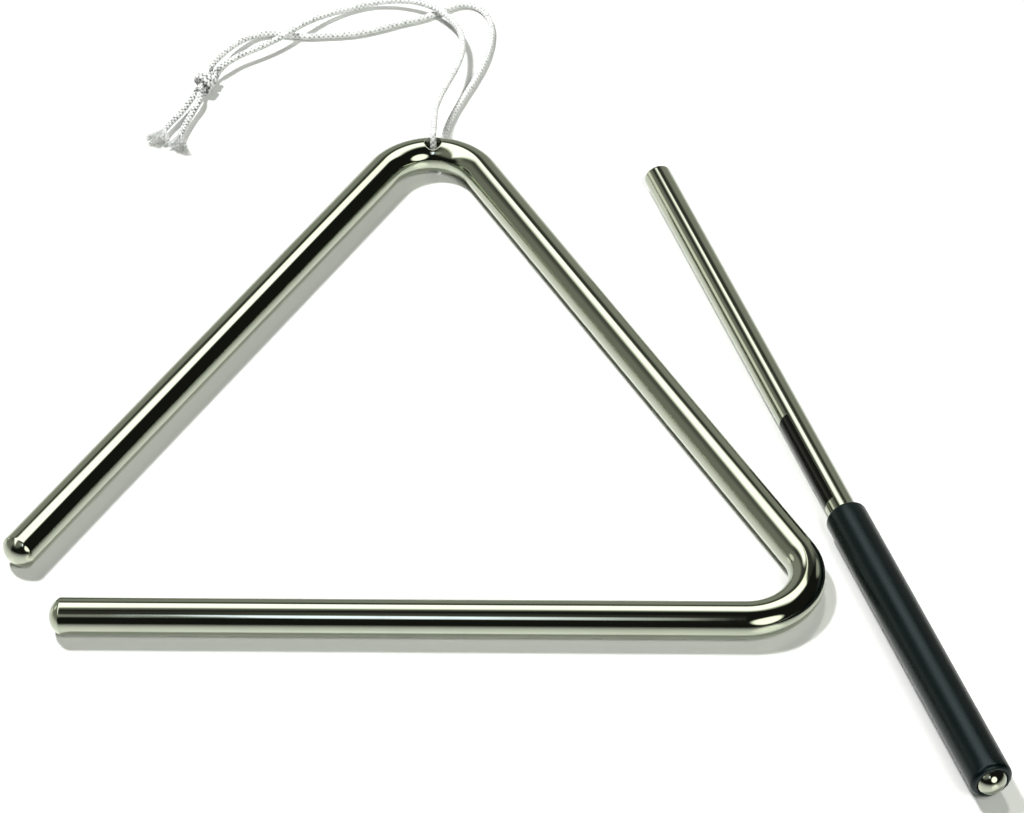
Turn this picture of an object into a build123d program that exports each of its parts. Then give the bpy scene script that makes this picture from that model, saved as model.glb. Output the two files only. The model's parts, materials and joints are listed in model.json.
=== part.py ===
from build123d import *
from math import asin, atan2, cos, degrees, hypot, pi, radians, sin, sqrt, tan
import os

# A triangle lying on its side with its beater beside it: millimetres and degrees, +Z up, floor at z = 0.

# Bent bar
bar_dia = 10.0
side_length = 233.5  # top corner to right corner, where the centre lines meet
corner_angle = 60.0  # between the two legs of each bend
bend_radius = 16.2  # of the bar's centre line
left_end_gap = 24.0  # open corner, where the centre lines would meet, to the tip of the left end
lower_end_gap = 24.0  # open corner to the tip of the lower end
end_dome_height = 2.9
end_edge_radius = 0.8  # softened shoulder of each domed end

# Cord hole, straight down through the middle of the top bend
hole_dia = 4.6
upper_rim_radius = 0.45  # rounding of the upper mouth
lower_rim_radius = 1.2  # of the lower mouth, so that the cord gets out between the bar and the floor

# Cord
cord_dia = 2.0
cord_clearance = 0.17  # between the cord and the rims that it goes round
neck_half = 1.0  # half of the straight stretch in the middle of the hole
mouth_run = 3.1  # straight stretch after each rim
first_run = 4.9  # first straight stretch of each strand
lower_heading = 11.0  # how far the lower strand leaves to the right of straight back
arc_share = 0.45  # share of the shorter run that each rounded corner takes

# Knot and frayed ends
knot_dia = 6.2
knot_length = 7.6
knot_edge_radius = 2.6
knot_place = (-69.2, 35.4)  # from the hole
knot_heading = 248.8
knot_lift = 0.1  # above the floor
cord_pitch = 2.2  # between the two cords that go in, and between the two that come out
knot_entry = 2.0  # from the knot's middle to the cord ends inside it
flare_dia = 4.4
flare_length = 6.0

# Cord routes from the hole: across, along, height above the floor
upper_route = [
    (0.0, 17.6, 8.6), (2.4, 27.4, 7.7), (5.4, 37.6, 6.5), (7.0, 47.6, 5.4), (6.2, 56.4, 4.5),
    (3.2, 63.4, 3.9), (-1.2, 68.8, 3.7), (-7.0, 72.8, 3.5), (-14.0, 75.0, 2.5), (-21.5, 74.9, 1.5),
    (-29.0, 72.1, 1.3), (-36.0, 67.8, 2.2), (-42.2, 62.0, 3.5), (-47.8, 55.6, 3.7), (-54.0, 50.8, 3.5),
    (-60.2, 47.2, 3.3), (-64.9, 42.2, 3.2),
]
lower_route = [
    (2.9, 15.6, 1.15), (4.6, 22.4, 1.1), (7.5, 30.4, 1.1), (10.9, 39.2, 1.1), (13.7, 48.4, 1.1),
    (15.0, 57.4, 1.1), (14.8, 64.0, 1.1), (13.2, 69.8, 1.1), (9.8, 74.0, 1.1), (4.6, 74.7, 1.1),
    (-0.2, 71.6, 1.1), (-5.6, 68.0, 1.1), (-12.5, 65.7, 1.1), (-19.5, 62.5, 1.1), (-26.7, 60.1, 1.1),
    (-34.6, 59.4, 1.1), (-42.6, 58.8, 1.1), (-49.8, 60.7, 1.1), (-55.9, 59.8, 1.3), (-61.2, 54.8, 2.2),
    (-64.8, 49.0, 2.9), (-67.8, 43.4, 3.2),
]
left_tail_route = [(-72.4, 28.4, 2.7), (-75.2, 22.4, 2.1), (-78.5, 16.8, 2.1), (-81.6, 9.4, 2.4)]
right_tail_route = [(-70.2, 26.9, 2.7), (-72.5, 20.6, 2.1), (-74.4, 14.4, 2.1), (-75.8, 6.2, 2.4)]

# Beater
rod_dia = 8.0
rod_length = 253.0
rod_dome_height = 1.8
rod_edge_radius = 0.6
grip_dia = 11.4
grip_length = 100.8
grip_start = 1.6  # from the rod's lower tip to the sleeve's lower end
grip_edge_radius = 1.0
beater_place = (33.4, -58.8)  # lower tip of the rod, from the right corner
beater_angle = 10.2  # between the beater and the triangle's right side

most_rounding = 0.45  # share of a wall or a thickness that a rounding may take

bar_radius = bar_dia / 2
cord_radius = cord_dia / 2
hole_radius = hole_dia / 2
rod_radius = rod_dia / 2
grip_radius = grip_dia / 2


def heading(angle):
    """Level unit vector at this angle from +X."""
    return Vector(cos(radians(angle)), sin(radians(angle)), 0)


def round_bar_end(radius, height, edge_radius):
    """Domed end standing on z = 0: a slice of a ball with a softened shoulder below it."""
    ball = (radius**2 + height**2) / (2 * height)
    stub = Cylinder(radius, ball, align=(Align.CENTER, Align.CENTER, Align.MAX))
    blank = stub + Cylinder(radius, height, align=(Align.CENTER, Align.CENTER, Align.MIN))
    rounded = blank & Pos(0, 0, height - ball) * Sphere(ball)
    shoulder = rounded.edges().filter_by_position(Axis.Z, -edge_radius / 2, edge_radius / 2)
    rounded = fillet(shoulder, edge_radius)
    return rounded & Pos(0, 0, -edge_radius) * Box(
        3 * radius, 3 * radius, 2 * (height + edge_radius), align=(Align.CENTER, Align.CENTER, Align.MIN)
    )


def corner_radii(points):
    """Radius of the arc at each corner of a route, as large as its two runs allow."""
    radii = []
    for before, here, after in zip(points, points[1:], points[2:]):
        arriving = here - before
        leaving = after - here
        half_turn = radians(arriving.get_angle(leaving)) / 2
        radii.append(arc_share * min(arriving.length, leaving.length) / tan(half_turn))
    return radii


def tube(name, points, radii=None):
    """Round cord along straight runs joined by tangent arcs."""
    radii = radii or corner_radii(points)
    path = FilletPolyline(*points, radius=radii)
    section = Plane(origin=path @ 0, z_dir=path % 0) * Circle(cord_radius)
    solid = sweep(section, path=path)
    share = solid.volume / (pi * cord_radius**2 * path.length)
    print(f"{name}: length {path.length:.1f}, radii {[round(r, 1) for r in radii]}, volume share {share:.4f}")
    return solid


# Bent bar, with the cord hole's axis at x = 0, y = 0
half_corner = corner_angle / 2
hole_setback = bend_radius * (1 / sin(radians(half_corner)) - 1)
left_heading = heading(270 - half_corner)
right_heading = heading(270 + half_corner)
lower_arm_heading = heading(90 + half_corner + corner_angle)
axis_height = Vector(0, 0, bar_radius)
top_corner = Vector(0, hole_setback, 0) + axis_height
right_corner = top_corner + right_heading * side_length
open_side = side_length / (2 * cos(radians(corner_angle)))  # top or right corner to the open corner
end_length = end_dome_height + end_edge_radius
left_shoulder = top_corner + left_heading * (open_side - left_end_gap - end_length)
lower_shoulder = right_corner + lower_arm_heading * (open_side - lower_end_gap - end_length)

bar_path = FilletPolyline(left_shoulder, top_corner, right_corner, lower_shoulder, radius=bend_radius)
bar_section = Plane(origin=left_shoulder, x_dir=left_heading.cross(Vector(0, 0, 1)), z_dir=-left_heading)
triangle_bar = sweep(bar_section * Circle(bar_radius), path=bar_path)
bar_end = Pos(0, 0, end_edge_radius) * round_bar_end(bar_radius, end_dome_height, end_edge_radius)
triangle_bar += Plane(origin=left_shoulder, z_dir=left_heading) * bar_end
triangle_bar += Plane(origin=lower_shoulder, z_dir=lower_arm_heading) * bar_end
triangle_bar -= Pos(axis_height) * Cylinder(hole_radius, 2 * bar_dia)
most_rim = most_rounding * (bar_radius - hole_radius)
upper_rim = min(upper_rim_radius, most_rim)
lower_rim = min(lower_rim_radius, most_rim)
for up, rim in ((1, upper_rim), (-1, lower_rim)):
    hole_wall = triangle_bar.faces().filter_by(GeomType.CYLINDER).sort_by(lambda face: face.center().length)[0]
    mouths = hole_wall.edges().filter_by(GeomType.LINE, reverse=True)
    triangle_bar = fillet(mouths.filter_by(lambda edge: up * (edge.center().Z - bar_radius) > 0), rim)

# Cord in the hole and round both rims
neck = Vector(0, hole_radius - cord_clearance - cord_radius, 0) + axis_height
cord_in_hole = Pos(neck) * Cylinder(cord_radius, 2 * neck_half)


def rim_turn(name, up, rim, away):
    """Cord from the neck in the hole, round one rim and a little way out: the solid and where it ends."""
    rim_rise = sqrt((bar_radius - rim) ** 2 - (hole_radius + rim) ** 2)
    turn_radius = rim + cord_clearance + cord_radius
    corner = neck + Vector(0, 0, up * (rim_rise + turn_radius))
    out = corner + away * (turn_radius + mouth_run)
    return tube(name, [neck + Vector(0, 0, up * neck_half), corner, out], [turn_radius]), out


upper_away = heading(90)
lower_away = heading(90 - lower_heading)
cord_upper_turn, upper_out = rim_turn("cord_upper_turn", 1, upper_rim, upper_away)
cord_lower_turn, lower_out = rim_turn("cord_lower_turn", -1, lower_rim, lower_away)

# Knot, with the strands ending and the tails starting inside it
knot_middle = Vector(*knot_place, knot_dia / 2 + knot_lift)
knot_along = heading(knot_heading)
knot_across = heading(knot_heading + 90) * (cord_pitch / 2)
cord_knot = Plane(origin=knot_middle, z_dir=knot_along) * Cylinder(knot_dia / 2, knot_length)
knot_rounding = min(knot_edge_radius, most_rounding * min(knot_dia, knot_length))
cord_knot = fillet(cord_knot.edges().filter_by(GeomType.CIRCLE), knot_rounding)


def strand(name, out, away, route, side):
    """One side of the loop, from its rim to the knot."""
    start = [out, out + away * first_run]
    end = knot_middle - knot_along * knot_entry + knot_across * side
    return tube(name, start + [Vector(*point) for point in route] + [end])


def tail(name, route, side):
    """Loose end of the cord, from the knot to its frayed tip."""
    start = knot_middle + knot_along * knot_entry + knot_across * side
    points = [start] + [Vector(*point) for point in route]
    last_run = (points[-1] - points[-2]).normalized()
    points[-1] -= last_run * flare_length
    flare = Plane(origin=points[-1], z_dir=last_run) * Cone(
        cord_radius, flare_dia / 2, flare_length, align=(Align.CENTER, Align.CENTER, Align.MIN)
    )
    return tube(name, points) + flare


cord_upper_strand = strand("cord_upper_strand", upper_out, upper_away, upper_route, 1)
cord_lower_strand = strand("cord_lower_strand", lower_out, lower_away, lower_route, -1)
cord_left_tail = tail("cord_left_tail", left_tail_route, -1)
cord_right_tail = tail("cord_right_tail", right_tail_route, 1)

# Beater, made upright on its lower tip
rod_end = round_bar_end(rod_radius, rod_dome_height, rod_edge_radius)
rod_body = rod_length - 2 * rod_dome_height
beater_rod = Pos(0, 0, rod_length / 2) * Cylinder(rod_radius, rod_body - 2 * rod_edge_radius)
beater_rod += Pos(0, 0, rod_length - rod_dome_height) * rod_end
beater_rod += Pos(0, 0, rod_dome_height) * Rot(180, 0, 0) * rod_end
beater_grip = Cylinder(grip_radius, grip_length, align=(Align.CENTER, Align.CENTER, Align.MIN))
beater_grip = fillet(beater_grip.edges().filter_by(GeomType.CIRCLE), grip_edge_radius)
beater_grip -= Cylinder(rod_radius, 3 * grip_length)
beater_grip = Pos(0, 0, grip_start) * beater_grip

# It is heavier past the sleeve, so it leans on the sleeve's upper edge and on the rod's tip
lever = rod_length - rod_dome_height - rod_edge_radius - grip_start - grip_length + grip_edge_radius
step = grip_radius - grip_edge_radius - rod_radius
lean = degrees(atan2(step, lever) + asin(grip_edge_radius / hypot(step, lever)))
beater_heading = 90 + half_corner - beater_angle
lay_down = Rot(0, 0, beater_heading) * Rot(0, 90 + lean, 0)
beater_rod = lay_down * beater_rod
beater_grip = lay_down * beater_grip
beater_lift = -min(beater_rod.bounding_box().min.Z, beater_grip.bounding_box().min.Z)
beater_foot = Vector(right_corner.X, right_corner.Y, 0) + Vector(*beater_place, beater_lift)
beater_move = Pos(beater_foot)
beater_rod = beater_move * beater_rod
beater_grip = beater_move * beater_grip

# The origin is on the floor, in the middle of the rigid pieces
rigid_box = triangle_bar.bounding_box().add(beater_rod.bounding_box()).add(beater_grip.bounding_box())
origin = Vector(rigid_box.center().X, rigid_box.center().Y, 0)
print(f"hole axis at {tuple(round(value, 3) for value in (axis_height - origin))}, lean {lean:.3f}")

nodes = {
    "triangle_bar": triangle_bar,
    "cord_in_hole": cord_in_hole,
    "cord_upper_turn": cord_upper_turn,
    "cord_lower_turn": cord_lower_turn,
    "cord_upper_strand": cord_upper_strand,
    "cord_lower_strand": cord_lower_strand,
    "cord_knot": cord_knot,
    "cord_left_tail": cord_left_tail,
    "cord_right_tail": cord_right_tail,
    "beater_rod": beater_rod,
    "beater_grip": beater_grip,
}
os.makedirs("parts", exist_ok=True)
for name, solid in nodes.items():
    export_step(Pos(-origin) * solid, f"parts/{name}.step")
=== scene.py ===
"""A plated steel triangle, its braided hanging cord and its beater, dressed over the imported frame.

Lengths are in metres. The triangle lies on the floor with its lower side along X, and routes are measured
from the cord hole in the top bend.
"""

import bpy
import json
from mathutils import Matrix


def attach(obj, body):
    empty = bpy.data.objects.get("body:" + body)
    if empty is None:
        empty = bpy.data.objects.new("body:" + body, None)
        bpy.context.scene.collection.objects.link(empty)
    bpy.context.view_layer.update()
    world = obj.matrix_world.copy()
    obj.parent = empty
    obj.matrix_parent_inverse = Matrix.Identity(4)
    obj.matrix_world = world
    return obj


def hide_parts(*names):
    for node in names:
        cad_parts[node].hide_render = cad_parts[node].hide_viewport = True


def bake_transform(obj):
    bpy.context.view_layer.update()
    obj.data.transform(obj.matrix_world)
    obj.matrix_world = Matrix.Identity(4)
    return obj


bl_info = {
    "name": "Triangle with Cord and Beater",
    "version": (1, 0, 0),
    "blender": (4, 5, 0),
    "location": "View3D > Sidebar > Triangle",
    "description": "Makes a plated triangle, its knotted cord and its beater, and a studio stage for them",
    "category": "Add Mesh",
}

import json

import bpy
import numpy as np
from mathutils import Matrix, Vector

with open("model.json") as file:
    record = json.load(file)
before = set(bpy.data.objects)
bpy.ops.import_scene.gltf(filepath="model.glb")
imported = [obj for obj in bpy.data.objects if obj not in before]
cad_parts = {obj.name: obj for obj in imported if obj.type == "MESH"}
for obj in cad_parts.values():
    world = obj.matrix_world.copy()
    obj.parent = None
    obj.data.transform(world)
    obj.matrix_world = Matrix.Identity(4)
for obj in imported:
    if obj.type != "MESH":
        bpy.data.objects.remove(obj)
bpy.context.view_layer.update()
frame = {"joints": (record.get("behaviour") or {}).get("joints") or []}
hole = np.array(next(joint["pos_m"] for joint in frame["joints"] if joint["name"] == "loop_swing"))
hole_on_floor = hole * (1, 1, 0)


def length(name, description, default):
    """A length that a user may change."""
    return bpy.props.FloatProperty(
        name=name, description=description, default=default, min=0.0, precision=5, subtype="DISTANCE", unit="LENGTH"
    )


def angle(name, description, degrees):
    """An angle that a user may change, given here in degrees."""
    return bpy.props.FloatProperty(
        name=name, description=description, default=float(np.radians(degrees)), subtype="ANGLE", unit="ROTATION"
    )


def colour(name, description, default):
    """A colour that a user may change."""
    return bpy.props.FloatVectorProperty(
        name=name, description=description, default=default, size=3, min=0.0, max=1.0, subtype="COLOR"
    )


def share(name, description, default):
    """A plain factor between nothing and all."""
    return bpy.props.FloatProperty(
        name=name, description=description, default=default, min=0.0, max=1.0, subtype="FACTOR"
    )


def amount(name, description, default):
    """A brightness or a power that a user may change."""
    return bpy.props.FloatProperty(name=name, description=description, default=default, min=0.0)


class BarSettings(bpy.types.PropertyGroup):
    """Sizes and finish of the bent bar."""

    thickness: length("Bar thickness", "Across the round bar", 0.010)
    side: length("Side length", "Between the corners of the closed sides", 0.2335)
    corner: angle("Corner angle", "Between two sides of the triangle", 60)
    bend: length("Bend radius", "Radius of the bar's middle line in a bend", 0.0162)
    end_gap: length("End gap", "From each tip to the open corner", 0.024)
    dome: length("Dome height", "Height of the domed ends", 0.0029)
    shoulder: length("Shoulder radius", "Rounding between wall and dome", 0.0008)
    hole: length("Hole diameter", "Across the cord hole", 0.0046)
    upper_rim: length("Upper rim radius", "Rounding of the hole's upper mouth", 0.00045)
    lower_rim: length("Lower rim radius", "Rounding of the hole's lower mouth", 0.0012)
    tint: colour("Plating tint", "Colour of the polished plating", (0.43, 0.462, 0.375))
    polish: share("Plating roughness", "Roughness where the plating is cleanest", 0.045)


class CordSettings(bpy.types.PropertyGroup):
    """Sizes and finish of the braided cord."""

    thickness: length("Cord thickness", "Across the braid", 0.0020)
    lead: length("Braid lead", "Length in which a strand of the braid goes once round", 0.0042)
    relief: length("Braid relief", "Depth of the valleys between the braid's strands", 0.00040)
    knot: length("Knot thickness", "Across the cord where the knot squeezes it", 0.0013)
    tuft: length("Fray length", "Length of the loose fibres at a cut end", 0.0070)
    crown: colour("Fibre colour", "Colour of the braid's raised strands", (0.80, 0.81, 0.80))
    # Painted shade: the valley colour stands in for the shade deep between the braid's strands.
    valley: colour("Valley colour", "Colour deep between the strands", (0.05, 0.052, 0.055))


class BeaterSettings(bpy.types.PropertyGroup):
    """Sizes and finish of the rod and its sleeve."""

    rod: length("Rod thickness", "Across the rod", 0.008)
    rod_length: length("Rod length", "From tip to tip", 0.253)
    dome: length("Dome height", "Height of the rod's domed tips", 0.0018)
    proud: length("Proud dome", "How much higher the dome is that shows in the sleeve", 0.0009)
    shoulder: length("Shoulder radius", "Rounding between wall and dome", 0.0006)
    grip: length("Sleeve thickness", "Across the sleeve", 0.0114)
    grip_length: length("Sleeve length", "From end to end", 0.1008)
    grip_start: length("Sleeve start", "From the rod's lower tip to the sleeve", 0.0016)
    grip_edge: length("Sleeve edge radius", "Rounding of the sleeve's upper end", 0.0010)
    grip_foot: length("Sleeve foot radius", "Rounding of the sleeve's lower end", 0.0014)
    turn: angle("Beater angle", "Between the beater and the triangle's right side", 10.2)
    lean: angle("Beater lean", "How far the tip leans to the floor", 0.653)
    place: bpy.props.FloatVectorProperty(
        name="Beater place", description="Lower tip of the rod, from the right corner", size=2,
        default=(0.0334, -0.0588), precision=5, subtype="XYZ_LENGTH", unit="LENGTH",
    )
    tint: colour("Plating tint", "Colour of the rod's plating", (0.43, 0.462, 0.375))
    polish: share("Plating roughness", "Roughness where the plating is cleanest", 0.05)
    print_start: length("Print start", "From the rod's lower tip to the plain dark field printed on it", 0.107)
    print_length: length("Print length", "Length of that field along the rod", 0.0345)
    print_width: angle("Print width", "How far that field goes round the rod", 92)
    print_turn: angle("Print turn", "Middle of that field, from level towards the top", 18)
    ink: colour("Print colour", "Colour of that field", (0.0025, 0.0025, 0.0015))
    sleeve: colour("Sleeve colour", "Colour of the black sleeve", (0.0005, 0.0020, 0.0025))


class StageSettings(bpy.types.PropertyGroup):
    """Floor, lights and camera."""

    floor: colour("Floor colour", "Colour of the pale floor", (0.90, 0.90, 0.89))
    softbox: amount("Softbox", "Brightness of the overhead softbox", 2.5)
    key: amount("Key light", "Power of the lamp that casts the shadows, in watts", 150.0)
    key_size: length("Key size", "Radius of that lamp", 0.135)
    fill: amount("Fill light", "Power of the lamp that fills the shadows, in watts", 160.0)
    fill_size: length("Fill size", "Radius of that lamp", 0.6)
    focal: bpy.props.FloatProperty(
        name="Focal length", description="Lens in millimetres", default=158.55, min=1.0, subtype="DISTANCE_CAMERA"
    )
    roll: angle("Camera roll", "Tilt of the camera about its view", -1.672)


class Shade:
    """A socket in a node tree. Sums, differences, products and quotients of it add Math nodes."""

    def __init__(self, tree, socket=None):
        self.tree = tree
        self.socket = socket

    def make(self, kind, settings=None, sockets=None, output=0):
        """Adds a node: its settings first, then its sockets' values or links. Gives one of its outputs."""
        node = self.tree.nodes.new(kind)
        for name, value in (settings or {}).items():
            setattr(node, name, value)
        for name, value in (sockets or {}).items():
            if isinstance(value, Shade):
                self.tree.links.new(value.socket, node.inputs[name])
            else:
                node.inputs[name].default_value = value
        return Shade(self.tree, node.outputs[output] if len(node.outputs) else None)

    def maths(self, operation, *values):
        return self.make("ShaderNodeMath", {"operation": operation}, dict(enumerate(values)))

    def __add__(self, other):
        return self.maths("ADD", self, other)

    __radd__ = __add__

    def __sub__(self, other):
        return self.maths("SUBTRACT", self, other)

    def __rsub__(self, other):
        return self.maths("SUBTRACT", other, self)

    def __mul__(self, other):
        return self.maths("MULTIPLY", self, other)

    __rmul__ = __mul__

    def __truediv__(self, other):
        return self.maths("DIVIDE", self, other)

    def rise(self, low, high):
        """0 below low, 1 above high, smooth between them."""
        return self.make(
            "ShaderNodeMapRange", {"interpolation_type": "SMOOTHSTEP"},
            {"Value": self, "From Min": low, "From Max": high},
        )

    def fall(self, low, high):
        """1 below low, 0 above high, smooth between them."""
        return 1 - self.rise(low, high)


def new_material(name):
    """An empty node material and a Shade that makes nodes in it."""
    material = bpy.data.materials.new(name)
    material.use_nodes = True
    material.node_tree.nodes.clear()
    return material, Shade(material.node_tree)


def close_material(shade, sockets):
    """Principled shader with these sockets, joined to the material's output."""
    surface = shade.make("ShaderNodeBsdfPrincipled", None, sockets)
    shade.make("ShaderNodeOutputMaterial", None, {"Surface": surface})


def noise(shade, vector, scale, detail=2.0, roughness=0.5):
    """Noise between 0 and 1, with this many features per metre."""
    return shade.make(
        "ShaderNodeTexNoise", None, {"Vector": vector, "Scale": scale, "Detail": detail, "Roughness": roughness}
    )


def blend_colours(shade, factor, first, second):
    """Colour that goes from the first to the second with the factor."""
    first, second = (tone if isinstance(tone, Shade) else (*tone, 1.0) for tone in (first, second))
    return shade.make("ShaderNodeMix", {"data_type": "RGBA"}, {"Factor": factor, 6: first, 7: second}, output=2)


def dimmed(tone, factor):
    """The same colour times a factor."""
    return tuple(value * factor for value in tone)


def plating_finish(name, tint, polish, field=None):
    """Polished plating: a mirror with faint haze in patches, fine wiping marks and a slow waviness.

    A field is a plain print on it: its tone, where it starts and ends along the print map's U, and its edge in V.
    """
    material, shade = new_material(name)
    place = shade.make("ShaderNodeTexCoord", output="Object")
    strokes = {"Vector": place, "Rotation": (0.3, 0.5, 0.9), "Scale": (1.0, 14.0, 14.0)}
    wiping = noise(shade, shade.make("ShaderNodeMapping", None, strokes), 160.0, 4.0, 0.65)
    film = noise(shade, place, 90.0, 3.0).rise(0.42, 0.72)
    roughness = film * 0.035 + wiping.rise(0.5, 0.8) * 0.03 + polish
    base = blend_colours(shade, film * 0.6, tint, dimmed(tint, 0.93))
    metal = 1.0
    if field:
        tone, low, high, edge = field
        flat = shade.make("ShaderNodeUVMap", {"uv_map": "print"})
        u, v = (shade.make("ShaderNodeSeparateXYZ", None, {"Vector": flat}, output=axis) for axis in "XY")
        soft_end, soft_side = 0.0001, 0.012
        inked = (
            u.rise(low - soft_end, low + soft_end) * u.fall(high - soft_end, high + soft_end)
            * v.rise(edge - soft_side, edge + soft_side)
        )
        base = blend_colours(shade, inked, base, tone)
        roughness = roughness + inked * 0.1
        metal = 1 - inked
    wave = noise(shade, place, 45.0, 1.0)
    bump = shade.make("ShaderNodeBump", None, {"Strength": 0.05, "Distance": 0.0004, "Height": wave + wiping * 0.03})
    close_material(shade, {
        "Base Color": base, "Metallic": metal, "Roughness": roughness, "Specular IOR Level": 0.18, "Normal": bump,
    })
    return material


def sleeve_finish(name, tone):
    """Satin black vinyl: fine grain, slow waviness and lighter rubbed patches."""
    material, shade = new_material(name)
    place = shade.make("ShaderNodeTexCoord", output="Object")
    grain = noise(shade, place, 2600.0)
    patch = noise(shade, place, 55.0, 3.0)
    rubbed = patch.rise(0.45, 0.75)
    base = blend_colours(shade, rubbed * 0.35, tone, dimmed(tone, 1.6))
    roughness = 0.24 + rubbed * 0.06 + grain * 0.05
    relief = {"Strength": 0.18, "Distance": 0.00012, "Height": grain + patch * 1.5}
    close_material(shade, {
        "Base Color": base, "Roughness": roughness, "Specular IOR Level": 0.31,
        "Specular Tint": (0.75, 1.0, 1.0, 1.0), "Normal": shade.make("ShaderNodeBump", None, relief),
    })
    return material


def fibre_finish(name, crown, valley):
    """White braided fibre: painted shade darkens the braid's valleys by the strands' height, with fine fibres along
    each strand.

    The painted valley shade is light at the hole and grows darker towards the knot and the tails.
    """
    material, shade = new_material(name)
    height, valley_shade = (
        shade.make("ShaderNodeAttribute", {"attribute_name": attribute}, output="Fac")
        for attribute in ("height", "valley_shade")
    )
    lines = shade.make("ShaderNodeUVMap", {"uv_map": "fibres"})
    stretched = shade.make("ShaderNodeMapping", None, {"Vector": lines, "Scale": (60.0, 4.0, 1.0)})
    fibre = noise(shade, stretched, 1.0)
    place = shade.make("ShaderNodeTexCoord", output="Object")
    uneven = noise(shade, place, 650.0, 1.0) * 0.7 - 0.35
    # Painted shade: the strands' height picks the crown or the valley tone, and the valley tone goes from a dimmed
    # crown at the hole to the valley colour towards the knot and the tails.
    raised = (height + uneven - valley_shade.rise(0.6, 1.0) * 0.08).rise(0.25, 0.85)
    grime = noise(shade, place, 120.0, 3.0).rise(0.5, 0.8)
    pale = blend_colours(shade, grime * 0.3, crown, dimmed(crown, 0.9))
    deep = blend_colours(shade, valley_shade.rise(0.3, 0.85), dimmed(crown, 0.4), valley)
    bump = shade.make("ShaderNodeBump", None, {"Strength": 0.35, "Distance": 0.00006, "Height": fibre})
    close_material(shade, {
        "Base Color": blend_colours(shade, raised, deep, pale), "Roughness": 0.72 + fibre * 0.12,
        "Sheen Weight": 0.25, "Sheen Roughness": 0.4, "Normal": bump,
    })
    return material


def floor_finish(name, tone):
    """Pale glossy table: seen along the surface, its sheen takes over from the white below it."""
    material, shade = new_material(name)
    fleck = noise(shade, shade.make("ShaderNodeTexCoord", output="Object"), 700.0)
    close_material(shade, {
        "Base Color": blend_colours(shade, fleck, tone, dimmed(tone, 0.985)), "Roughness": 0.2, "IOR": 1.6,
        "Coat Weight": 1.0, "Coat Roughness": 0.12, "Coat IOR": 1.6,
    })
    return material


def grid_faces(rows, columns, around=True):
    """Quads between the rows of a grid of points, closed round each row where asked."""
    here = np.arange(rows * columns).reshape(rows, columns)
    beside = np.roll(here, -1, axis=1)
    if not around:
        here, beside = here[:, :-1], here[:, 1:]
    return np.stack([here[:-1], beside[:-1], beside[1:], here[1:]], axis=-1).reshape(-1, 4)


def fan_faces(ring, pole, turned):
    """Triangles from a ring of points to its pole."""
    beside = np.roll(ring, -1)
    corners = [beside, ring] if turned else [ring, beside]
    return np.stack([*corners, np.full(len(ring), pole)], axis=-1)


def mesh_object(name, points, faces, material):
    """A smooth-shaded object at the origin from points and arrays of faces; points that no face uses go."""
    used = np.unique(np.concatenate([array.ravel() for array in faces]))
    number = np.zeros(len(points), dtype=int)
    number[used] = np.arange(len(used))
    mesh = bpy.data.meshes.new(name)
    mesh.from_pydata(points[used].tolist(), [], [face for array in faces for face in number[array].tolist()])
    mesh.polygons.foreach_set("use_smooth", np.ones(len(mesh.polygons), dtype=bool))
    mesh.materials.append(material)
    mesh.validate()
    mesh.update()
    piece = bpy.data.objects.new(name, mesh)
    bpy.context.scene.collection.objects.link(piece)
    return piece


def put_points(mesh, name, values):
    """A number on every point of a mesh."""
    numbers = np.asarray(values, dtype=np.float32).ravel()
    mesh.attributes.new(name, "FLOAT", "POINT").data.foreach_set("value", numbers)


def put_uv(mesh, name, places):
    """A UV map from one place for each point of a mesh."""
    corners = np.empty(len(mesh.loops), dtype=np.int32)
    mesh.loops.foreach_get("vertex_index", corners)
    layer = mesh.uv_layers.new(name=name)
    layer.uv.foreach_set("vector", np.asarray(places, dtype=np.float32)[corners].ravel())


def dome_profile(radius, height, shoulder, steps=8):
    """Wall, shoulder and dome of a round bar's end: heights above the wall's top, and radii, up to near the pole.

    The dome is a slice of a ball, ball = (radius squared + height squared) / (2 height). The shoulder is an arc
    inside the wall and the ball: its middle is at radius - shoulder, and at ball - shoulder from the ball's middle.
    """
    ball = (radius**2 + height**2) / (2 * height)
    ball_middle = height - ball
    middle = radius - shoulder
    rise = np.sqrt((ball - shoulder) ** 2 - middle**2)
    meeting = np.arctan2(middle, rise)
    edge = np.linspace(np.pi / 2, meeting, steps)
    dome = np.linspace(meeting, 0, 2 * steps + 1)[1:-1]
    heights = np.concatenate([ball_middle + rise + shoulder * np.cos(edge), ball_middle + ball * np.cos(dome)])
    radii = np.concatenate([middle + shoulder * np.sin(edge), ball * np.sin(dome)])
    return heights + shoulder, radii


def bar_line(stations, knots, headings, start):
    """Middle line of the bent bar at these distances along it: places and headings.

    The heading changes evenly along a bend and stays along a straight. Each step is a chord, the step's length
    times sin(half its turn) / (half its turn), at the step's mean heading, so the places are exact.
    """
    heading = np.interp(stations, knots, headings)
    half = np.diff(heading) / 2
    chord = np.diff(stations) * np.sinc(half / np.pi)
    mean = heading[:-1] + half
    steps = np.stack([chord * np.cos(mean), chord * np.sin(mean)], axis=1)
    return start + np.concatenate([np.zeros((1, 2)), np.cumsum(steps, axis=0)]), heading


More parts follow.
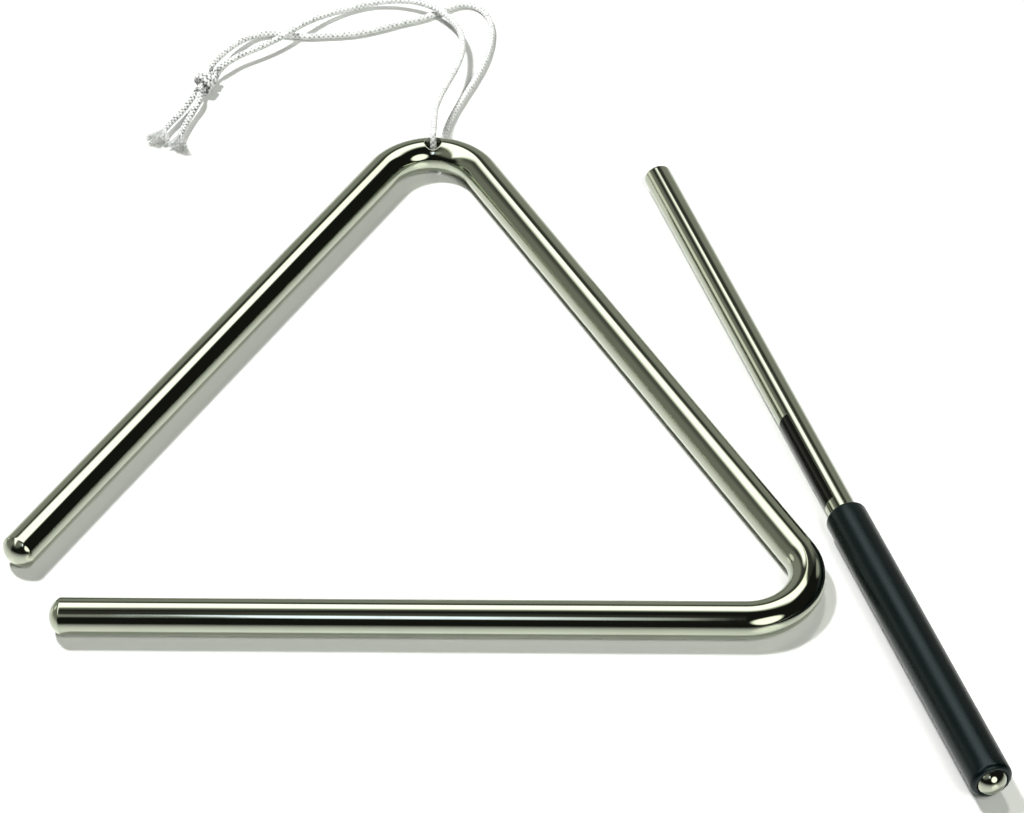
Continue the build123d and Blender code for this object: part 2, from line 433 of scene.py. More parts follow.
def hole_patch(radius, bend, hole_radius, rim, theta, grid_station, grid_turn):
    """Rows of points from the bar's grid to one mouth of the hole, down the mouth and on to the hole's middle.

    theta goes round the hole, and each point of the grid has a distance along the bend and a turn round the bar.
    The first rows go evenly from these to the mouth's edge over the bend's own surface. The mouth is a ball of the rim
    radius rolled round the hole inside the bar. The wall goes straight down. Heights are from the bar's middle line.
    """
    step = np.linspace(0, 1, 15)[1:, None]
    inner, out = radius - rim, hole_radius + rim
    x, y = out * np.cos(theta), out * np.sin(theta) + bend
    bearing, offset = np.arctan2(x, y), np.hypot(x, y) - bend
    rise = np.sqrt(inner**2 - offset**2)
    station = grid_station + step * (bearing * bend - grid_station)
    swing = grid_turn + step * (np.arctan2(offset, rise) - grid_turn)
    distance = bend + radius * np.sin(swing)
    over = np.stack([
        distance * np.sin(station / bend), distance * np.cos(station / bend) - bend, radius * np.cos(swing),
    ], axis=-1)
    ball = np.stack([x, y - bend, rise], axis=-1)
    away = np.stack([np.sin(bearing) * offset, np.cos(bearing) * offset, rise], axis=-1) / inner
    inward = np.stack([-np.cos(theta), -np.sin(theta), np.zeros_like(theta)], axis=-1)
    between = np.arccos(np.clip(np.sum(away * inward, axis=-1), -1, 1))
    outer_part, inner_part = (np.sin(part * between)[..., None] for part in (1 - step, step))
    mouth = ball + rim * (outer_part * away + inner_part * inward) / np.sin(between)[:, None]
    wall = mouth[-1] * np.stack([np.ones((4, 1)), np.ones((4, 1)), np.linspace(1, 0, 5)[1:, None]], axis=-1)
    return np.concatenate([over, mouth, wall])


def bent_bar(bar, around=96, patch_share=0.37):
    """Points and faces of the plated bar, measured from the hole's axis on the floor.

    Circles are carried along the middle line and end in domes. Within a share of the bend radius from the hole the
    circles stop at a patch on the top and one below, which go in to the hole and meet at its middle.
    """
    radius, bend = bar.thickness / 2, bar.bend
    half = bar.corner / 2
    tangent = bend / np.tan(half)
    arc = bend * (np.pi - bar.corner)
    arm = bar.side / (2 * np.cos(bar.corner)) - bar.end_gap - bar.dome - bar.shoulder
    corner = np.array([0.0, bend * (1 / np.sin(half) - 1)])
    first = np.pi / 2 - half
    knots = np.cumsum([0, arm - tangent, arc, bar.side - 2 * tangent, arc, arm - tangent])
    headings = first + np.array([0, 0, -1, -1, -2, -2]) * (np.pi - bar.corner)
    start = corner - arm * np.array([np.cos(first), np.sin(first)])
    apex = (knots[1] + knots[2]) / 2
    low_edge, high_edge = apex - patch_share * bend, apex + patch_share * bend
    marks = [knots[0], knots[1], low_edge, high_edge, *knots[2:]]
    spans = zip(marks, marks[1:], (12, 16, 24, 16, 12, 48, 12))
    stations = np.concatenate([np.linspace(low, high, steps + 1)[:-1] for low, high, steps in spans] + [knots[-1:]])
    places, heading = bar_line(stations, knots, headings, start)
    heights, radii = dome_profile(radius, bar.dome, bar.shoulder)
    along = np.stack([np.cos(heading), np.sin(heading)], axis=1)
    first_dome, last_dome = places[0] - heights[::-1, None] * along[0], places[-1] + heights[:, None] * along[-1]
    places = np.concatenate([first_dome, places, last_dome])
    radii = np.concatenate([radii[::-1], np.full(len(stations), radius), radii])
    before = len(heights)
    heading = np.pad(heading, before, mode="edge")
    turn = np.arange(around) * 2 * np.pi / around
    outward = np.stack([-np.sin(heading), np.cos(heading)], axis=1)
    plan = places[:, None, :] + radii[:, None, None] * np.sin(turn)[None, :, None] * outward[:, None, :]
    level = radius + radii[:, None] * np.cos(turn)[None, :]
    rows = len(places)
    points = np.concatenate([plan, level[..., None]], axis=-1).reshape(-1, 3)
    to_pole = bar.dome + bar.shoulder - heights[-1]
    poles = [[*(places[0] - to_pole * along[0]), radius], [*(places[-1] + to_pole * along[-1]), radius]]

    low, high = (before + int(np.argmin(np.abs(stations - edge))) for edge in (low_edge, high_edge))
    number = np.arange(rows * around).reshape(rows, around)
    tube = grid_faces(rows, around).reshape(rows - 1, around, 4)[:, :, ::-1]
    kept = np.ones(rows - 1, dtype=bool)
    kept[low:high] = False
    ends = [fan_faces(number[0], len(points), False), fan_faces(number[-1], len(points) + 1, True)]
    faces = [tube[kept].reshape(-1, 4), *ends]
    points = np.concatenate([points, poles])

    quarter, run = around // 4, high - low
    row = np.concatenate([
        np.full(2 * quarter, high), np.arange(high, low, -1), np.full(2 * quarter, low), np.arange(low, high),
    ])
    column = np.concatenate([
        np.arange(-quarter, quarter), np.full(run, quarter), np.arange(quarter, -quarter, -1), np.full(run, -quarter),
    ])
    counts = (2 * quarter, run, 2 * quarter, run)
    side = np.concatenate([
        np.linspace(2 * place - 1, 2 * place + 1, count, endpoint=False) for place, count in enumerate(counts)
    ])
    theta = side * np.pi / 4
    grid_station = np.pad(stations - apex, before)[row]
    grid_turn = column * 2 * np.pi / around
    around_hole = len(theta)
    for up, rim in ((1, bar.upper_rim), (-1, bar.lower_rim)):
        patch = hole_patch(radius, bend, bar.hole / 2, rim, theta, grid_station, grid_turn)
        columns = (column if up > 0 else 2 * quarter - column) % around
        fresh = len(points) + np.arange(patch.shape[0] * around_hole).reshape(-1, around_hole)
        sheet = np.concatenate([number[row, columns][None, :], fresh])
        points = np.concatenate([points, (patch * (1, 1, up) + (0, 0, radius)).reshape(-1, 3)])
        quads = sheet.ravel()[grid_faces(len(sheet), around_hole)]
        if up > 0:
            middle = sheet[-1]
            faces.append(quads)
        else:
            shared = middle[(quads - sheet[-1][0]) % around_hole]
            faces.append(np.where(np.isin(quads, sheet[-1]), shared, quads)[:, ::-1])
    return points, faces


def turned_piece(heights, radii, around, poles=None):
    """Points and faces of a profile of heights and radii turned round Z; poles close it at these two heights.

    A point is at radius cos(turn), radius sin(turn) and its height. Without poles the profile closes on itself.
    """
    turn = np.arange(around) * 2 * np.pi / around
    circle = np.stack([np.cos(turn), np.sin(turn), np.zeros(around)], axis=-1)
    points = (radii[:, None, None] * circle + heights[:, None, None] * np.array([0, 0, 1.0])).reshape(-1, 3)
    rows = len(heights)
    faces = [grid_faces(rows, around)]
    if poles is None:
        last = np.arange((rows - 1) * around, rows * around)
        first = np.arange(around)
        faces.append(np.stack([last, np.roll(last, -1), np.roll(first, -1), first], axis=-1))
    else:
        faces += [fan_faces(np.arange(around), len(points), True),
                  fan_faces(np.arange((rows - 1) * around, rows * around), len(points) + 1, False)]
        points = np.concatenate([points, [[0, 0, poles[0]], [0, 0, poles[1]]]])
    return points, faces


def domed_rod(beater):
    """Points and faces of the rod, upright on its lower tip: a dome, the wall and a dome, turned round Z."""
    radius, wall_rows = beater.rod / 2, 25
    wall_low, wall_high = beater.dome + beater.shoulder, beater.rod_length - beater.dome - beater.shoulder
    upper, upper_radii = dome_profile(radius, beater.dome, beater.shoulder)
    lower, lower_radii = dome_profile(radius, beater.dome + beater.proud, beater.shoulder)
    wall = np.linspace(wall_low, wall_high, wall_rows)
    heights = np.concatenate([(wall_low - lower)[::-1], wall, upper + wall_high])
    radii = np.concatenate([lower_radii[::-1], np.full(wall_rows, radius), upper_radii])
    return turned_piece(heights, radii, around=72, poles=(-beater.proud, beater.rod_length))


def open_sleeve(beater, clearance=0.00003, mouth=0.00025):
    """Points and faces of the sleeve, upright on the rod: one closed profile turned round Z.

    The profile goes down the bore, over a bevel to the lower end, round a quarter circle to the wall, up the wall and
    round another quarter circle to the upper end, which has a bevel too.
    """
    edge, foot, outer = beater.grip_edge, beater.grip_foot, beater.grip / 2
    bore = beater.rod / 2 + clearance
    low, high = beater.grip_start, beater.grip_start + beater.grip_length
    curve = np.linspace(0, np.pi / 2, 9)
    wall = np.linspace(low, high, 25)[1:-1]
    heights = np.concatenate([
        [high - mouth, low + mouth, low], low + foot - foot * np.cos(curve), wall,
        high - edge + edge * np.sin(curve), [high],
    ])
    radii = np.concatenate([
        [bore, bore, bore + mouth], outer - foot + foot * np.sin(curve), np.full(len(wall), outer),
        outer - edge + edge * np.cos(curve), [bore + mouth],
    ])
    return turned_piece(heights, radii, around=96)


UPPER_ROUTE = (
    (0.0, 1.13, 5.0), (0.0, 1.0, 10.42), (0.0, 5.9, 10.25), (0.0, 11.0, 9.9),
    (0.0, 17.6, 8.6), (2.4, 27.4, 7.7), (5.4, 37.6, 6.5), (7.0, 47.6, 5.4), (6.2, 56.4, 4.5), (3.2, 63.4, 3.9),
    (-1.2, 68.8, 3.7), (-7.0, 72.8, 3.5), (-14.0, 75.0, 2.5), (-21.5, 74.9, 1.5), (-29.0, 72.1, 1.3),
    (-36.0, 67.8, 2.2), (-42.2, 62.0, 3.5), (-47.8, 55.6, 3.7), (-54.0, 50.8, 3.5), (-60.2, 47.2, 3.3),
    (-64.9, 42.2, 3.2),
)
LOWER_ROUTE = (
    (0.0, 1.13, 5.0), (0.0, 1.06, 1.05), (1.04, 6.5, 1.1), (1.98, 11.3, 1.15),
    (2.9, 15.6, 1.15), (4.6, 22.4, 1.1), (7.5, 30.4, 1.1), (10.9, 39.2, 1.1), (13.7, 48.4, 1.1), (15.0, 57.4, 1.1),
    (14.8, 64.0, 1.1), (13.2, 69.8, 1.1), (9.8, 74.0, 1.1), (4.6, 74.7, 1.1), (-0.2, 71.6, 1.1), (-5.6, 68.0, 1.1),
    (-12.5, 65.7, 1.1), (-19.5, 62.5, 1.1), (-26.7, 60.1, 1.1), (-34.6, 59.4, 1.1), (-42.6, 58.8, 1.1),
    (-49.8, 60.7, 1.1), (-55.9, 59.8, 1.3), (-61.2, 54.8, 2.2), (-64.8, 49.0, 2.9), (-67.8, 43.4, 3.2),
)
LEFT_TAIL = ((-72.4, 28.4, 2.7), (-75.2, 22.4, 2.1), (-78.5, 16.8, 2.1), (-79.7, 14.0, 2.2))
RIGHT_TAIL = ((-70.2, 26.9, 2.7), (-72.5, 20.6, 2.1), (-74.4, 14.4, 2.1), (-74.9, 11.2, 2.2))
KNOT_MIDDLE = np.array([-69.2, 35.4, 3.2])
KNOT_HEADING = np.radians(248.8)
KNOT_ALONG = np.array([np.cos(KNOT_HEADING), np.sin(KNOT_HEADING), 0])
KNOT_ACROSS = np.array([-np.sin(KNOT_HEADING), np.cos(KNOT_HEADING), 0])
MILLIMETRE = 0.001


def knot_route(side, leaving):
    """Control points of one cord through the overhand knot, in the routes' frame.

    In along the lower core, once and a bit round both cores while going back, then in again and out along the upper
    core. The turns' radius is widest half way, as on a barrel, and the floor flattens them a little. The two cords lie
    side by side, and side is +1 or -1.
    """
    pitch, half_length, widest, waist, flattened = 0.84, 2.5, 2.55, 0.45, 0.88
    turns = np.radians(np.arange(-75, 415, 35))
    back = np.linspace(1, -1, len(turns))
    girth = widest - waist * back**2
    wrap = [half_length * back + pitch * side, girth * np.cos(turns), flattened * girth * np.sin(turns)]
    going_in = [
        (-5.8, 0.74 * side, -0.1), (-3.4, 0.7 * side, -0.6), (0.9, 0.75 * side, -0.85),
        (3.7 + 0.4 * side, 0.6 * side, -1.3),
    ]
    coming_out = [
        (-4.0 + 0.4 * side, 0.9 * side, -0.6), (-2.0, 0.75 * side, 0.75), (0.8, 0.75 * side, 0.85),
        (4.6, 0.74 * leaving, 0.4),
    ]
    local = np.concatenate([going_in, np.stack(wrap, axis=1), coming_out])
    return KNOT_MIDDLE + local @ (KNOT_ALONG, KNOT_ACROSS, (0, 0, 1))


def smooth_line(name, route):
    """Points along the NURBS line whose control points are this route, in metres."""
    curve = bpy.data.curves.new(name, "CURVE")
    curve.dimensions = "3D"
    curve.resolution_u = 24
    spline = curve.splines.new("NURBS")
    spline.points.add(len(route) - 1)
    spline.points.foreach_set("co", np.concatenate([route, np.ones((len(route), 1))], axis=1).ravel())
    spline.order_u = 3
    spline.use_endpoint_u = True
    holder = bpy.data.objects.new(name, curve)
    mesh = bpy.data.meshes.new_from_object(holder)
    line = np.empty(len(mesh.vertices) * 3)
    mesh.vertices.foreach_get("co", line)
    bpy.data.objects.remove(holder)
    bpy.data.curves.remove(curve)
    bpy.data.meshes.remove(mesh)
    return line.reshape(-1, 3)


def even_line(line, step):
    """The same line at even steps: places, directions and distances along it."""
    runs = np.concatenate([[0], np.cumsum(np.linalg.norm(np.diff(line, axis=0), axis=1))])
    distance = np.linspace(0, runs[-1], int(runs[-1] / step) + 1)
    places = np.stack([np.interp(distance, runs, line[:, axis]) for axis in range(3)], axis=1)
    along = np.gradient(places, axis=0)
    return places, along / np.linalg.norm(along, axis=1, keepdims=True), distance


def carried_frames(along):
    """Two directions across a line that turn as little as they can from one place to the next."""
    across = np.empty_like(along)
    across[0] = np.cross(along[0], (1.0, 0.0, 0.0))
    across[0] /= np.linalg.norm(across[0])
    for place in range(1, len(along)):
        carried = across[place - 1] - along[place] * (across[place - 1] @ along[place])
        across[place] = carried / np.linalg.norm(carried)
    return across, np.cross(along, across)


def braid(turn, distance, lead, strands=3, rounding=0.6, weave=0.4):
    """Height of a braid's surface, 0 in the valleys to 1 on the crowns, and places along and across its strands.

    Strands wind both ways: u and v = strands (turn / 2 pi +- distance / lead). Across a strand the height is the
    root of 1 - (2 frac - 1) squared, and along it a cosine takes it over and under the strands that it crosses.
    The higher of the two shows.
    """
    u, v = (strands * (turn / (2 * np.pi) + way * distance / lead) for way in (1, -1))
    first, second = (
        np.sqrt(np.clip(1 - (2 * (own % 1) - 1) ** 2, 0, 1)) * rounding
        + sign * weave * np.cos(np.pi * (np.floor(own) + other - 0.5))
        for own, other, sign in ((u, v, 1), (v, u, -1))
    )
    over = first >= second
    return np.clip(np.maximum(first, second), 0, 1), np.where(over, u % 1, v % 1), np.where(over, v, u)


def ramp(values, low, high):
    """0 at low and 1 at high, straight between them and level past them. Low may be the larger."""
    return np.clip((values - low) / (high - low), 0, 1)


def braided_cord(name, route, cord, material, around=28, step=0.00015):
    """A braided tube along the route's smooth line, squeezed where it goes through the knot.

    A point is at the line's place plus its radius times cos(turn) and sin(turn) of the two carried directions. The
    radius is the cord's own less the braid's relief times 1 - height. Painted shade darkens the height that colours
    the cord, not its shape, on the knot's sides that face along it, between one turn and the next, and on the two
    necks.
    """
    line = smooth_line(name, route * MILLIMETRE + hole_on_floor)
    places, along, distance = even_line(line, step)
    across, upward = carried_frames(along)
    turn = np.arange(around) * 2 * np.pi / around
    height, fibre, run = braid(turn[None, :], distance[:, None], cord.lead)

    core, core_edge = 0.0010, 0.0020
    squeezed, eased = 0.0052, 0.0078
    apart = places - (KNOT_MIDDLE * MILLIMETRE + hole_on_floor)
    axial = np.abs(apart @ KNOT_ALONG)
    outside = np.sqrt(np.maximum(np.sum(apart**2, axis=1) - axial**2, 0))
    free = np.maximum(ramp(outside, core, core_edge), ramp(axial, squeezed, eased))
    radius = (cord.knot + (cord.thickness - cord.knot) * free**2 * (3 - 2 * free)) / 2
    reach = radius[:, None] - cord.relief * (1 - height)
    spoke = np.cos(turn)[None, :, None] * across[:, None, :] + np.sin(turn)[None, :, None] * upward[:, None, :]
    points = (places[:, None, :] + reach[..., None] * spoke).reshape(-1, 3)

    # Painted shade: the knot's crevices between turns and its two necks lower the height that colours the cord.
    beside_knot, on_knot = 0.0065, 0.0055
    turns_end, turns_full = 0.0050, 0.0040
    neck_middle, neck_half = 0.0054, 0.0018
    near = ramp(outside, beside_knot, on_knot)
    turned = near * ramp(axial, turns_end, turns_full)
    neck = near * ramp(np.abs(axial - neck_middle), neck_half, 0)
    beside = ramp(np.abs(spoke @ KNOT_ALONG), 0.5, 0.9)
    height = height * (1 - 0.34 * beside * turned[:, None]) * (1 - 0.3 * neck[:, None])

    rows = len(places)
    faces = [grid_faces(rows, around), fan_faces(np.arange(around), len(points), True),
             fan_faces(np.arange((rows - 1) * around, rows * around), len(points) + 1, False)]
    points = np.concatenate([points, [places[0], places[-1]]])
    piece = mesh_object(name, points, faces, material)
    put_points(piece.data, "height", np.concatenate([height.ravel(), [0.3, 0.3]]))
    # Painted valley shade: none at the hole, growing to full at the tail's end.
    put_points(piece.data, "valley_shade", np.concatenate([np.repeat(distance / distance[-1], around), [0.0, 1.0]]))
    put_uv(piece.data, "fibres", np.concatenate([np.stack([fibre.ravel(), run.ravel()], axis=1), np.zeros((2, 2))]))
    return piece, line, places[-1], along[-1], distance[-1]


def frayed_end(name, place, along, cord, material, seed, count=220, bunches=6, sides=4, stations=7):
    """Loose fibres from a cut end.

    A fibre starts on a disc in the cut and runs along the cord's own direction for its length while it spreads from
    the middle with the run to the power 1.6, with a slow sideways wave. The fibres hold together in bunches, each with
    its own lean, length and brightness. A fibre's place never sinks below the floor.
    """
    golden_turn = 2.39996
    disc, sunk, waving = 0.00075, 0.0008, 0.00018
    least_spread, more_spread = 0.0002, 0.0013
    most_lean = (0.0021, 0.0010)
    fibre_radius, fibre_taper, lowest = 0.000095, 0.3, 0.00012

    chance = np.random.default_rng(seed)
    spin = np.arange(count) * golden_turn + chance.normal(0, 0.15, count)
    start = np.sqrt((np.arange(count) + 0.5) / count)
    side = np.cross(along, (0, 0, 1.0))
    side /= np.linalg.norm(side)
    above = np.cross(side, along)
    ray = np.cos(spin)[:, None] * side + np.sin(spin)[:, None] * above
    cross = -np.sin(spin)[:, None] * side + np.cos(spin)[:, None] * above
    run = np.linspace(0, 1, stations)[None, :]
    bunch = chance.integers(0, bunches, count)
    reach = cord.tuft * (chance.uniform(0.6, 1.0, bunches)[bunch] * chance.uniform(0.85, 1.0, count))[:, None]
    lean = chance.uniform((-1, -1), (1, 0), (bunches, 2))[bunch] * most_lean
    shine = chance.uniform(0.6, 1.3, bunches)[bunch] + chance.uniform(-0.35, 0.35, count)
    spread = (least_spread + more_spread * start * chance.uniform(0.3, 1.2, count))[:, None]
    pace, phase = chance.uniform(3, 7, count)[:, None], chance.uniform(0, 6.3, count)[:, None]
    wave = waving * np.sin(run * pace + phase) * run
    away = start[:, None] * disc + spread * run**1.6
    middle = place + (reach * run - sunk)[..., None] * along
    middle = middle + away[..., None] * ray[:, None, :] + wave[..., None] * cross[:, None, :]
    middle += (run**1.4)[..., None] * (lean[:, :1] * side + lean[:, 1:] * above)[:, None, :]
    middle[..., 2] = np.maximum(middle[..., 2], lowest)

    thick = fibre_radius * (1 - fibre_taper * run) * np.ones((count, 1))
    turn = np.arange(sides) * 2 * np.pi / sides
    ring = np.cos(turn)[:, None] * side + np.sin(turn)[:, None] * above
    points = (middle[:, :, None, :] + thick[..., None, None] * ring).reshape(-1, 3)
    first_point = np.arange(count)[:, None] * stations * sides
    tubes = (grid_faces(stations, sides)[None] + first_point[..., None]).reshape(-1, 4)
    tips = np.arange(sides)[None, :] + first_point + (stations - 1) * sides
    piece = mesh_object(name, points, [tubes, tips], material)
    each = (count, stations, sides)
    put_points(piece.data, "height", np.broadcast_to((shine[:, None] + 0.3 * run)[..., None], each))
    # The frays take the full painted valley shade.
    put_points(piece.data, "valley_shade", np.ones(len(points)))
    lines = [np.broadcast_to(values, each) for values in (turn / 6.3, run[..., None])]
    put_uv(piece.data, "fibres", np.stack(lines, axis=-1).reshape(-1, 2))
    return piece


def towards(shade, way, target, level=False):
    """How far a direction, or only its heading where level, is towards a target: 1 straight at it, -1 away."""
    if level:
        way = shade.make("ShaderNodeVectorMath", {"operation": "MULTIPLY"}, {0: way, 1: (1.0, 1.0, 0.0)})
        way = shade.make("ShaderNodeVectorMath", {"operation": "NORMALIZE"}, {0: way})
    return shade.make("ShaderNodeVectorMath", {"operation": "DOT_PRODUCT"}, {0: way, 1: target}, output="Value")


def studio_world(softbox):
    """What the plating shows of the studio: a softbox overhead, a window, cards and pale walls in a dark room.

    A direction's place on a flat ceiling one unit up is its x / z and y / z. The softbox is the part of that ceiling
    inside five soft edges, the front one bent, and a horn adds a corner at its back. The window is another such part,
    in front. The walls stand behind and to the left, and darken upwards. The glow, the card, the pale patch and the
    glint are round spots about their own directions, and the glow is dimmed along a strip of the ceiling.
    """
    world = bpy.data.worlds.new("studio")
    world.use_nodes = True
    world.node_tree.nodes.clear()
    shade = Shade(world.node_tree)
    way = shade.make("ShaderNodeTexCoord", output="Generated")
    x, y, z = (shade.make("ShaderNodeSeparateXYZ", None, {"Vector": way}, output=axis) for axis in "XYZ")
    up = shade.maths("MAXIMUM", z, 0.02)
    right, back = x / up, y / up
    right_edge = right.fall(0.46, 0.63)
    bend = shade.maths("MAXIMUM", right * -0.94 - 0.105, 0.0)
    box = (
        (back + right * 0.5).fall(0.82, 0.98) * (right * 0.63 + back * 0.774).fall(0.79, 0.88) * right_edge
        * (right - back * 0.45).rise(-1.12, -0.74) * (back + bend).rise(0.06, 0.37)
    )
    horn = (right * 0.532 + back * 0.846).fall(0.84, 0.9) * right_edge * right.rise(-0.08, 0.06) * back.rise(0.5, 0.6)
    window = (
        right.fall(-0.08, 0.04) * (right.rise(-0.148, -0.122) * 0.86 + 0.14) * right.rise(-0.5, -0.3)
        * back.fall(-0.74, -0.56) * back.rise(-1.32, -0.95)
    )
    wall = towards(shade, way, (-0.64, 0.77, 0.0), True).rise(0.18, 0.44)
    left = towards(shade, way, (-1.0, 0.0, 0.0), True).rise(0.72, 0.95)
    grey = wall * (0.385 - z.rise(0.44, 0.62) * (0.34 - left * 0.21) - left * 0.10) + 0.015
    strip = right.rise(-0.24, -0.16) * right.fall(-0.125, -0.085)
    glow = towards(shade, way, (-0.5, -0.4, 0.77)).rise(0.83, 1.0) * (1 - strip * 0.75)
    card = towards(shade, way, (0.4415, -0.7646, 0.469)).rise(0.925, 0.972)
    pale = towards(shade, way, (-0.8707, 0.4533, 0.1908)).rise(0.984, 0.998)
    glint = towards(shade, way, (0.699, 0.652, 0.292)).rise(0.978, 0.995)
    light = (
        shade.maths("MAXIMUM", box, horn) * softbox + card * 2.6 + window * 2.4 + pale * 0.95 + glint * 0.5
        + glow * 0.3 + grey
    )
    warm, neutral, cool = (0.98, 1.0, 0.88), (1.0, 1.0, 0.985), (0.9, 1.0, 1.28)
    tone = blend_colours(shade, window, blend_colours(shade, box, warm, neutral), cool)
    surround = shade.make("ShaderNodeBackground", None, {"Color": tone, "Strength": light})
    shade.make("ShaderNodeOutputWorld", None, {"Surface": surround})
    return world


class TRIANGLE_OT_bar(bpy.types.Operator):
    """Make the bent, plated bar with its domed ends and its cord hole"""

    bl_idname = "triangle.bar"
    bl_label = "Bar"
    bl_options = {"REGISTER", "UNDO"}

    def execute(self, context):
        bar = context.scene.triangle_bar
        points, faces = bent_bar(bar)
        plating = plating_finish("bar_plating", tuple(bar.tint), bar.polish)
        piece = mesh_object("bar", points + hole_on_floor, faces, plating)
        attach(piece, "triangle")
        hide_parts("triangle_bar")
        return {"FINISHED"}


class TRIANGLE_OT_cord(bpy.types.Operator):
    """Lay the two halves of the braided cord from the hole to the knot, with their frayed tails"""

    bl_idname = "triangle.cord"
    bl_label = "Cord, knot and tails"
    bl_options = {"REGISTER", "UNDO"}

    def execute(self, context):
        cord = context.scene.triangle_cord
        fibre = fibre_finish("braided_fibre", tuple(cord.crown), tuple(cord.valley))
        halves = (
            ("cord_upper", UPPER_ROUTE, 1, LEFT_TAIL, -1, 0.00385, 11,
             ("cord_in_hole", "cord_upper_turn", "cord_upper_strand", "cord_knot", "cord_left_tail")),
            ("cord_lower", LOWER_ROUTE, -1, RIGHT_TAIL, 1, -0.00385, 23,
             ("cord_lower_turn", "cord_lower_strand", "cord_right_tail")),
        )
        for name, strand, side, tail, leaving, mouth, seed, nodes in halves:
            route = np.concatenate([strand, knot_route(side, leaving), tail])
            piece, line, end, along, reach = braided_cord(name, route, cord, fibre)
            tuft = frayed_end(name.replace("cord", "fray"), end, along, cord, fibre, seed)
            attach(tuft, "cord_loop")
            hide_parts(*nodes)
            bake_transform(piece)
        return {"FINISHED"}


class TRIANGLE_OT_beater(bpy.types.Operator):
    """Make the plated rod and the black sleeve on it"""

    bl_idname = "triangle.beater"
    bl_label = "Beater"
    bl_options = {"REGISTER", "UNDO"}

    def execute(self, context):
        beater, bar = context.scene.triangle_beater, context.scene.triangle_bar
        heading = np.pi / 2 + bar.corner / 2 - beater.turn
        ahead = np.array([np.cos(heading), np.sin(heading), 0])
        axis = ahead * np.cos(beater.lean) - np.array([0, 0, np.sin(beater.lean)])
        side = np.array([-np.sin(heading), np.cos(heading), 0])
        turned = np.stack([side, np.cross(axis, side), axis])
        top = np.array([0.0, bar.bend * (1 / np.sin(bar.corner / 2) - 1), 0])
        corner = top + bar.side * np.array([np.sin(bar.corner / 2), -np.cos(bar.corner / 2), 0])
        radius, wall_end = beater.rod / 2, beater.rod_length - beater.dome - beater.shoulder
        rise = radius * np.cos(beater.lean) + wall_end * np.sin(beater.lean)
        place = hole_on_floor + corner + (beater.place[0], beater.place[1], rise)

        print_end, print_edge = beater.print_start + beater.print_length, np.cos(beater.print_width / 2)
        field = (tuple(beater.ink), beater.print_start, print_end, print_edge)
        plating = plating_finish("rod_plating", tuple(beater.tint), beater.polish, field)
        vinyl = sleeve_finish("black_sleeve", tuple(beater.sleeve))
        for name, node, slot, (points, faces), material in (
            ("rod", "beater_rod", "rod_plating", domed_rod(beater), plating),
            ("grip", "beater_grip", "grip", open_sleeve(beater), vinyl),
        ):
            piece = mesh_object(name, points @ turned + place, faces, material)
            if node == "beater_rod":
                facing = points[:, :2] @ (np.cos(beater.print_turn), np.sin(beater.print_turn)) / radius
                put_uv(piece.data, "print", np.stack([points[:, 2], facing], axis=1))
            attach(piece, "beater")
            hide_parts(node)
        return {"FINISHED"}


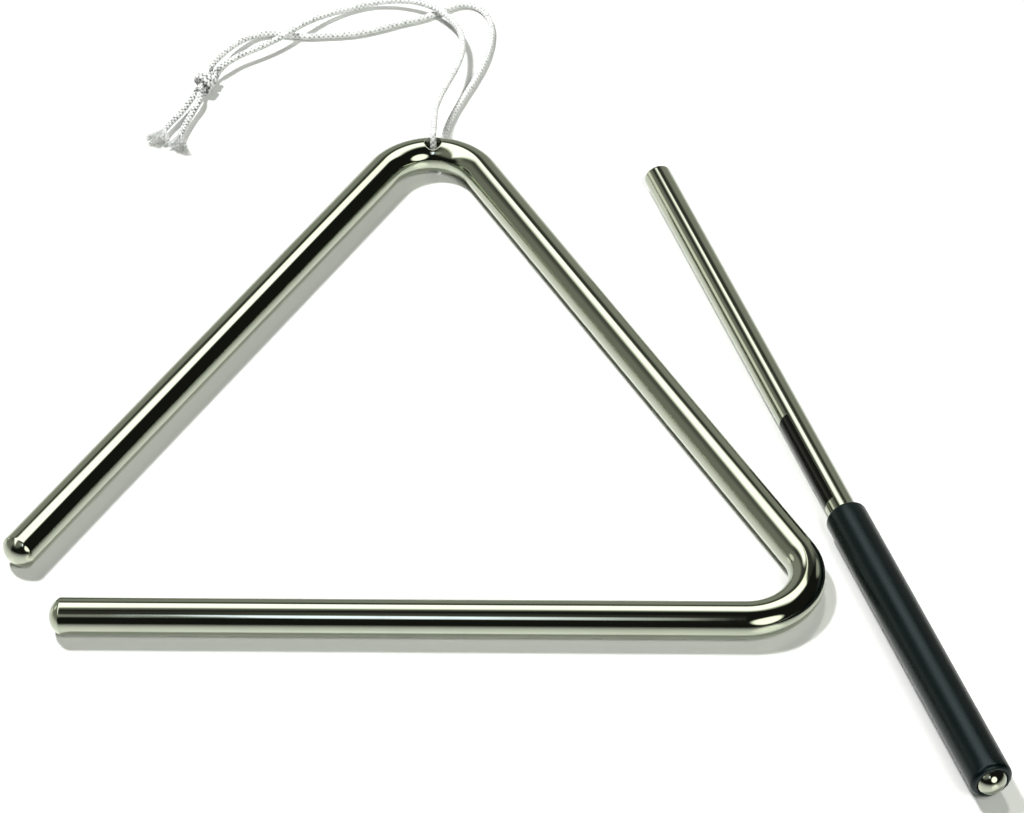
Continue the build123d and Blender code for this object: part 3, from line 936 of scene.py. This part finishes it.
class TRIANGLE_OT_stage(bpy.types.Operator):
    """Lay the pale floor and set the soft studio lights and the camera"""

    bl_idname = "triangle.stage"
    bl_label = "Stage"
    bl_options = {"REGISTER", "UNDO"}

    def execute(self, context):
        stage = context.scene.triangle_stage
        half, drop = 2.5, 0.00005
        side = np.linspace(-half, half, 3)
        x, y = np.meshgrid(side, side)
        points = np.stack([x.ravel(), y.ravel(), np.full(x.size, -drop)], axis=1)
        table = floor_finish("pale_table", tuple(stage.floor))
        floor = mesh_object("floor", points, [grid_faces(3, 3, around=False)], table)

        for name, power, size, tone, place in (
            ("key_light", stage.key, stage.key_size, (1.0, 1.0, 1.0), (-0.62, 0.47, 1.5)),
            ("fill_light", stage.fill, stage.fill_size, (0.97, 1.0, 0.93), (0.9, -1.6, 1.75)),
        ):
            lamp = bpy.data.lights.new(name, "POINT")
            lamp.energy = power
            lamp.color = tone
            lamp.shadow_soft_size = size
            light = bpy.data.objects.new(name, lamp)
            light.location = hole_on_floor + place
            light.visible_glossy = False
            context.scene.collection.objects.link(light)
        context.scene.world = studio_world(stage.softbox)
        context.scene.world.cycles_visibility.diffuse = False

        target = hole_on_floor + (0.02552, -0.10068, 0)
        eye = hole_on_floor + (0.06895, -0.99701, 0.85118)
        ahead = (target - eye) / np.linalg.norm(target - eye)
        right = np.cross(ahead, (0, 0, 1.0))
        right /= np.linalg.norm(right)
        above = np.cross(right, ahead)
        cosine, sine = np.cos(stage.roll), np.sin(stage.roll)
        right, above = cosine * right + sine * above, cosine * above - sine * right
        lens = bpy.data.cameras.new("camera")
        lens.sensor_fit = "HORIZONTAL"
        lens.sensor_width = 36.0
        lens.lens = stage.focal
        lens.clip_start = 0.01
        camera = bpy.data.objects.new("camera", lens)
        camera.matrix_world = Matrix((*zip(right, above, -ahead, eye), (0, 0, 0, 1)))
        context.scene.collection.objects.link(camera)
        context.scene.camera = camera
        context.scene.view_settings.view_transform = "Standard"
        return {"FINISHED"}


class TRIANGLE_PT_pieces(bpy.types.Panel):
    """Buttons and sizes of the triangle's pieces"""

    bl_idname = "TRIANGLE_PT_pieces"
    bl_label = "Triangle"
    bl_space_type = "VIEW_3D"
    bl_region_type = "UI"
    bl_category = "Triangle"

    def draw(self, context):
        for operator, settings in STEPS:
            box = self.layout.box()
            box.operator(operator.bl_idname)
            group = getattr(context.scene, settings)
            for name in group.__annotations__:
                box.prop(group, name)


STEPS = (
    (TRIANGLE_OT_bar, "triangle_bar"),
    (TRIANGLE_OT_cord, "triangle_cord"),
    (TRIANGLE_OT_beater, "triangle_beater"),
    (TRIANGLE_OT_stage, "triangle_stage"),
)
SETTINGS = {
    "triangle_bar": BarSettings,
    "triangle_cord": CordSettings,
    "triangle_beater": BeaterSettings,
    "triangle_stage": StageSettings,
}


def register():
    for name, group in SETTINGS.items():
        bpy.utils.register_class(group)
        setattr(bpy.types.Scene, name, bpy.props.PointerProperty(type=group))
    for operator, _ in STEPS:
        bpy.utils.register_class(operator)
    bpy.utils.register_class(TRIANGLE_PT_pieces)


def unregister():
    bpy.utils.unregister_class(TRIANGLE_PT_pieces)
    for operator, _ in reversed(STEPS):
        bpy.utils.unregister_class(operator)
    for name, group in reversed(SETTINGS.items()):
        delattr(bpy.types.Scene, name)
        bpy.utils.unregister_class(group)


def main():
    """Make every piece and the stage."""
    register()
    bpy.ops.triangle.bar()
    bpy.ops.triangle.cord()
    bpy.ops.triangle.beater()
    bpy.ops.triangle.stage()


if __name__ == "__main__":
    main()
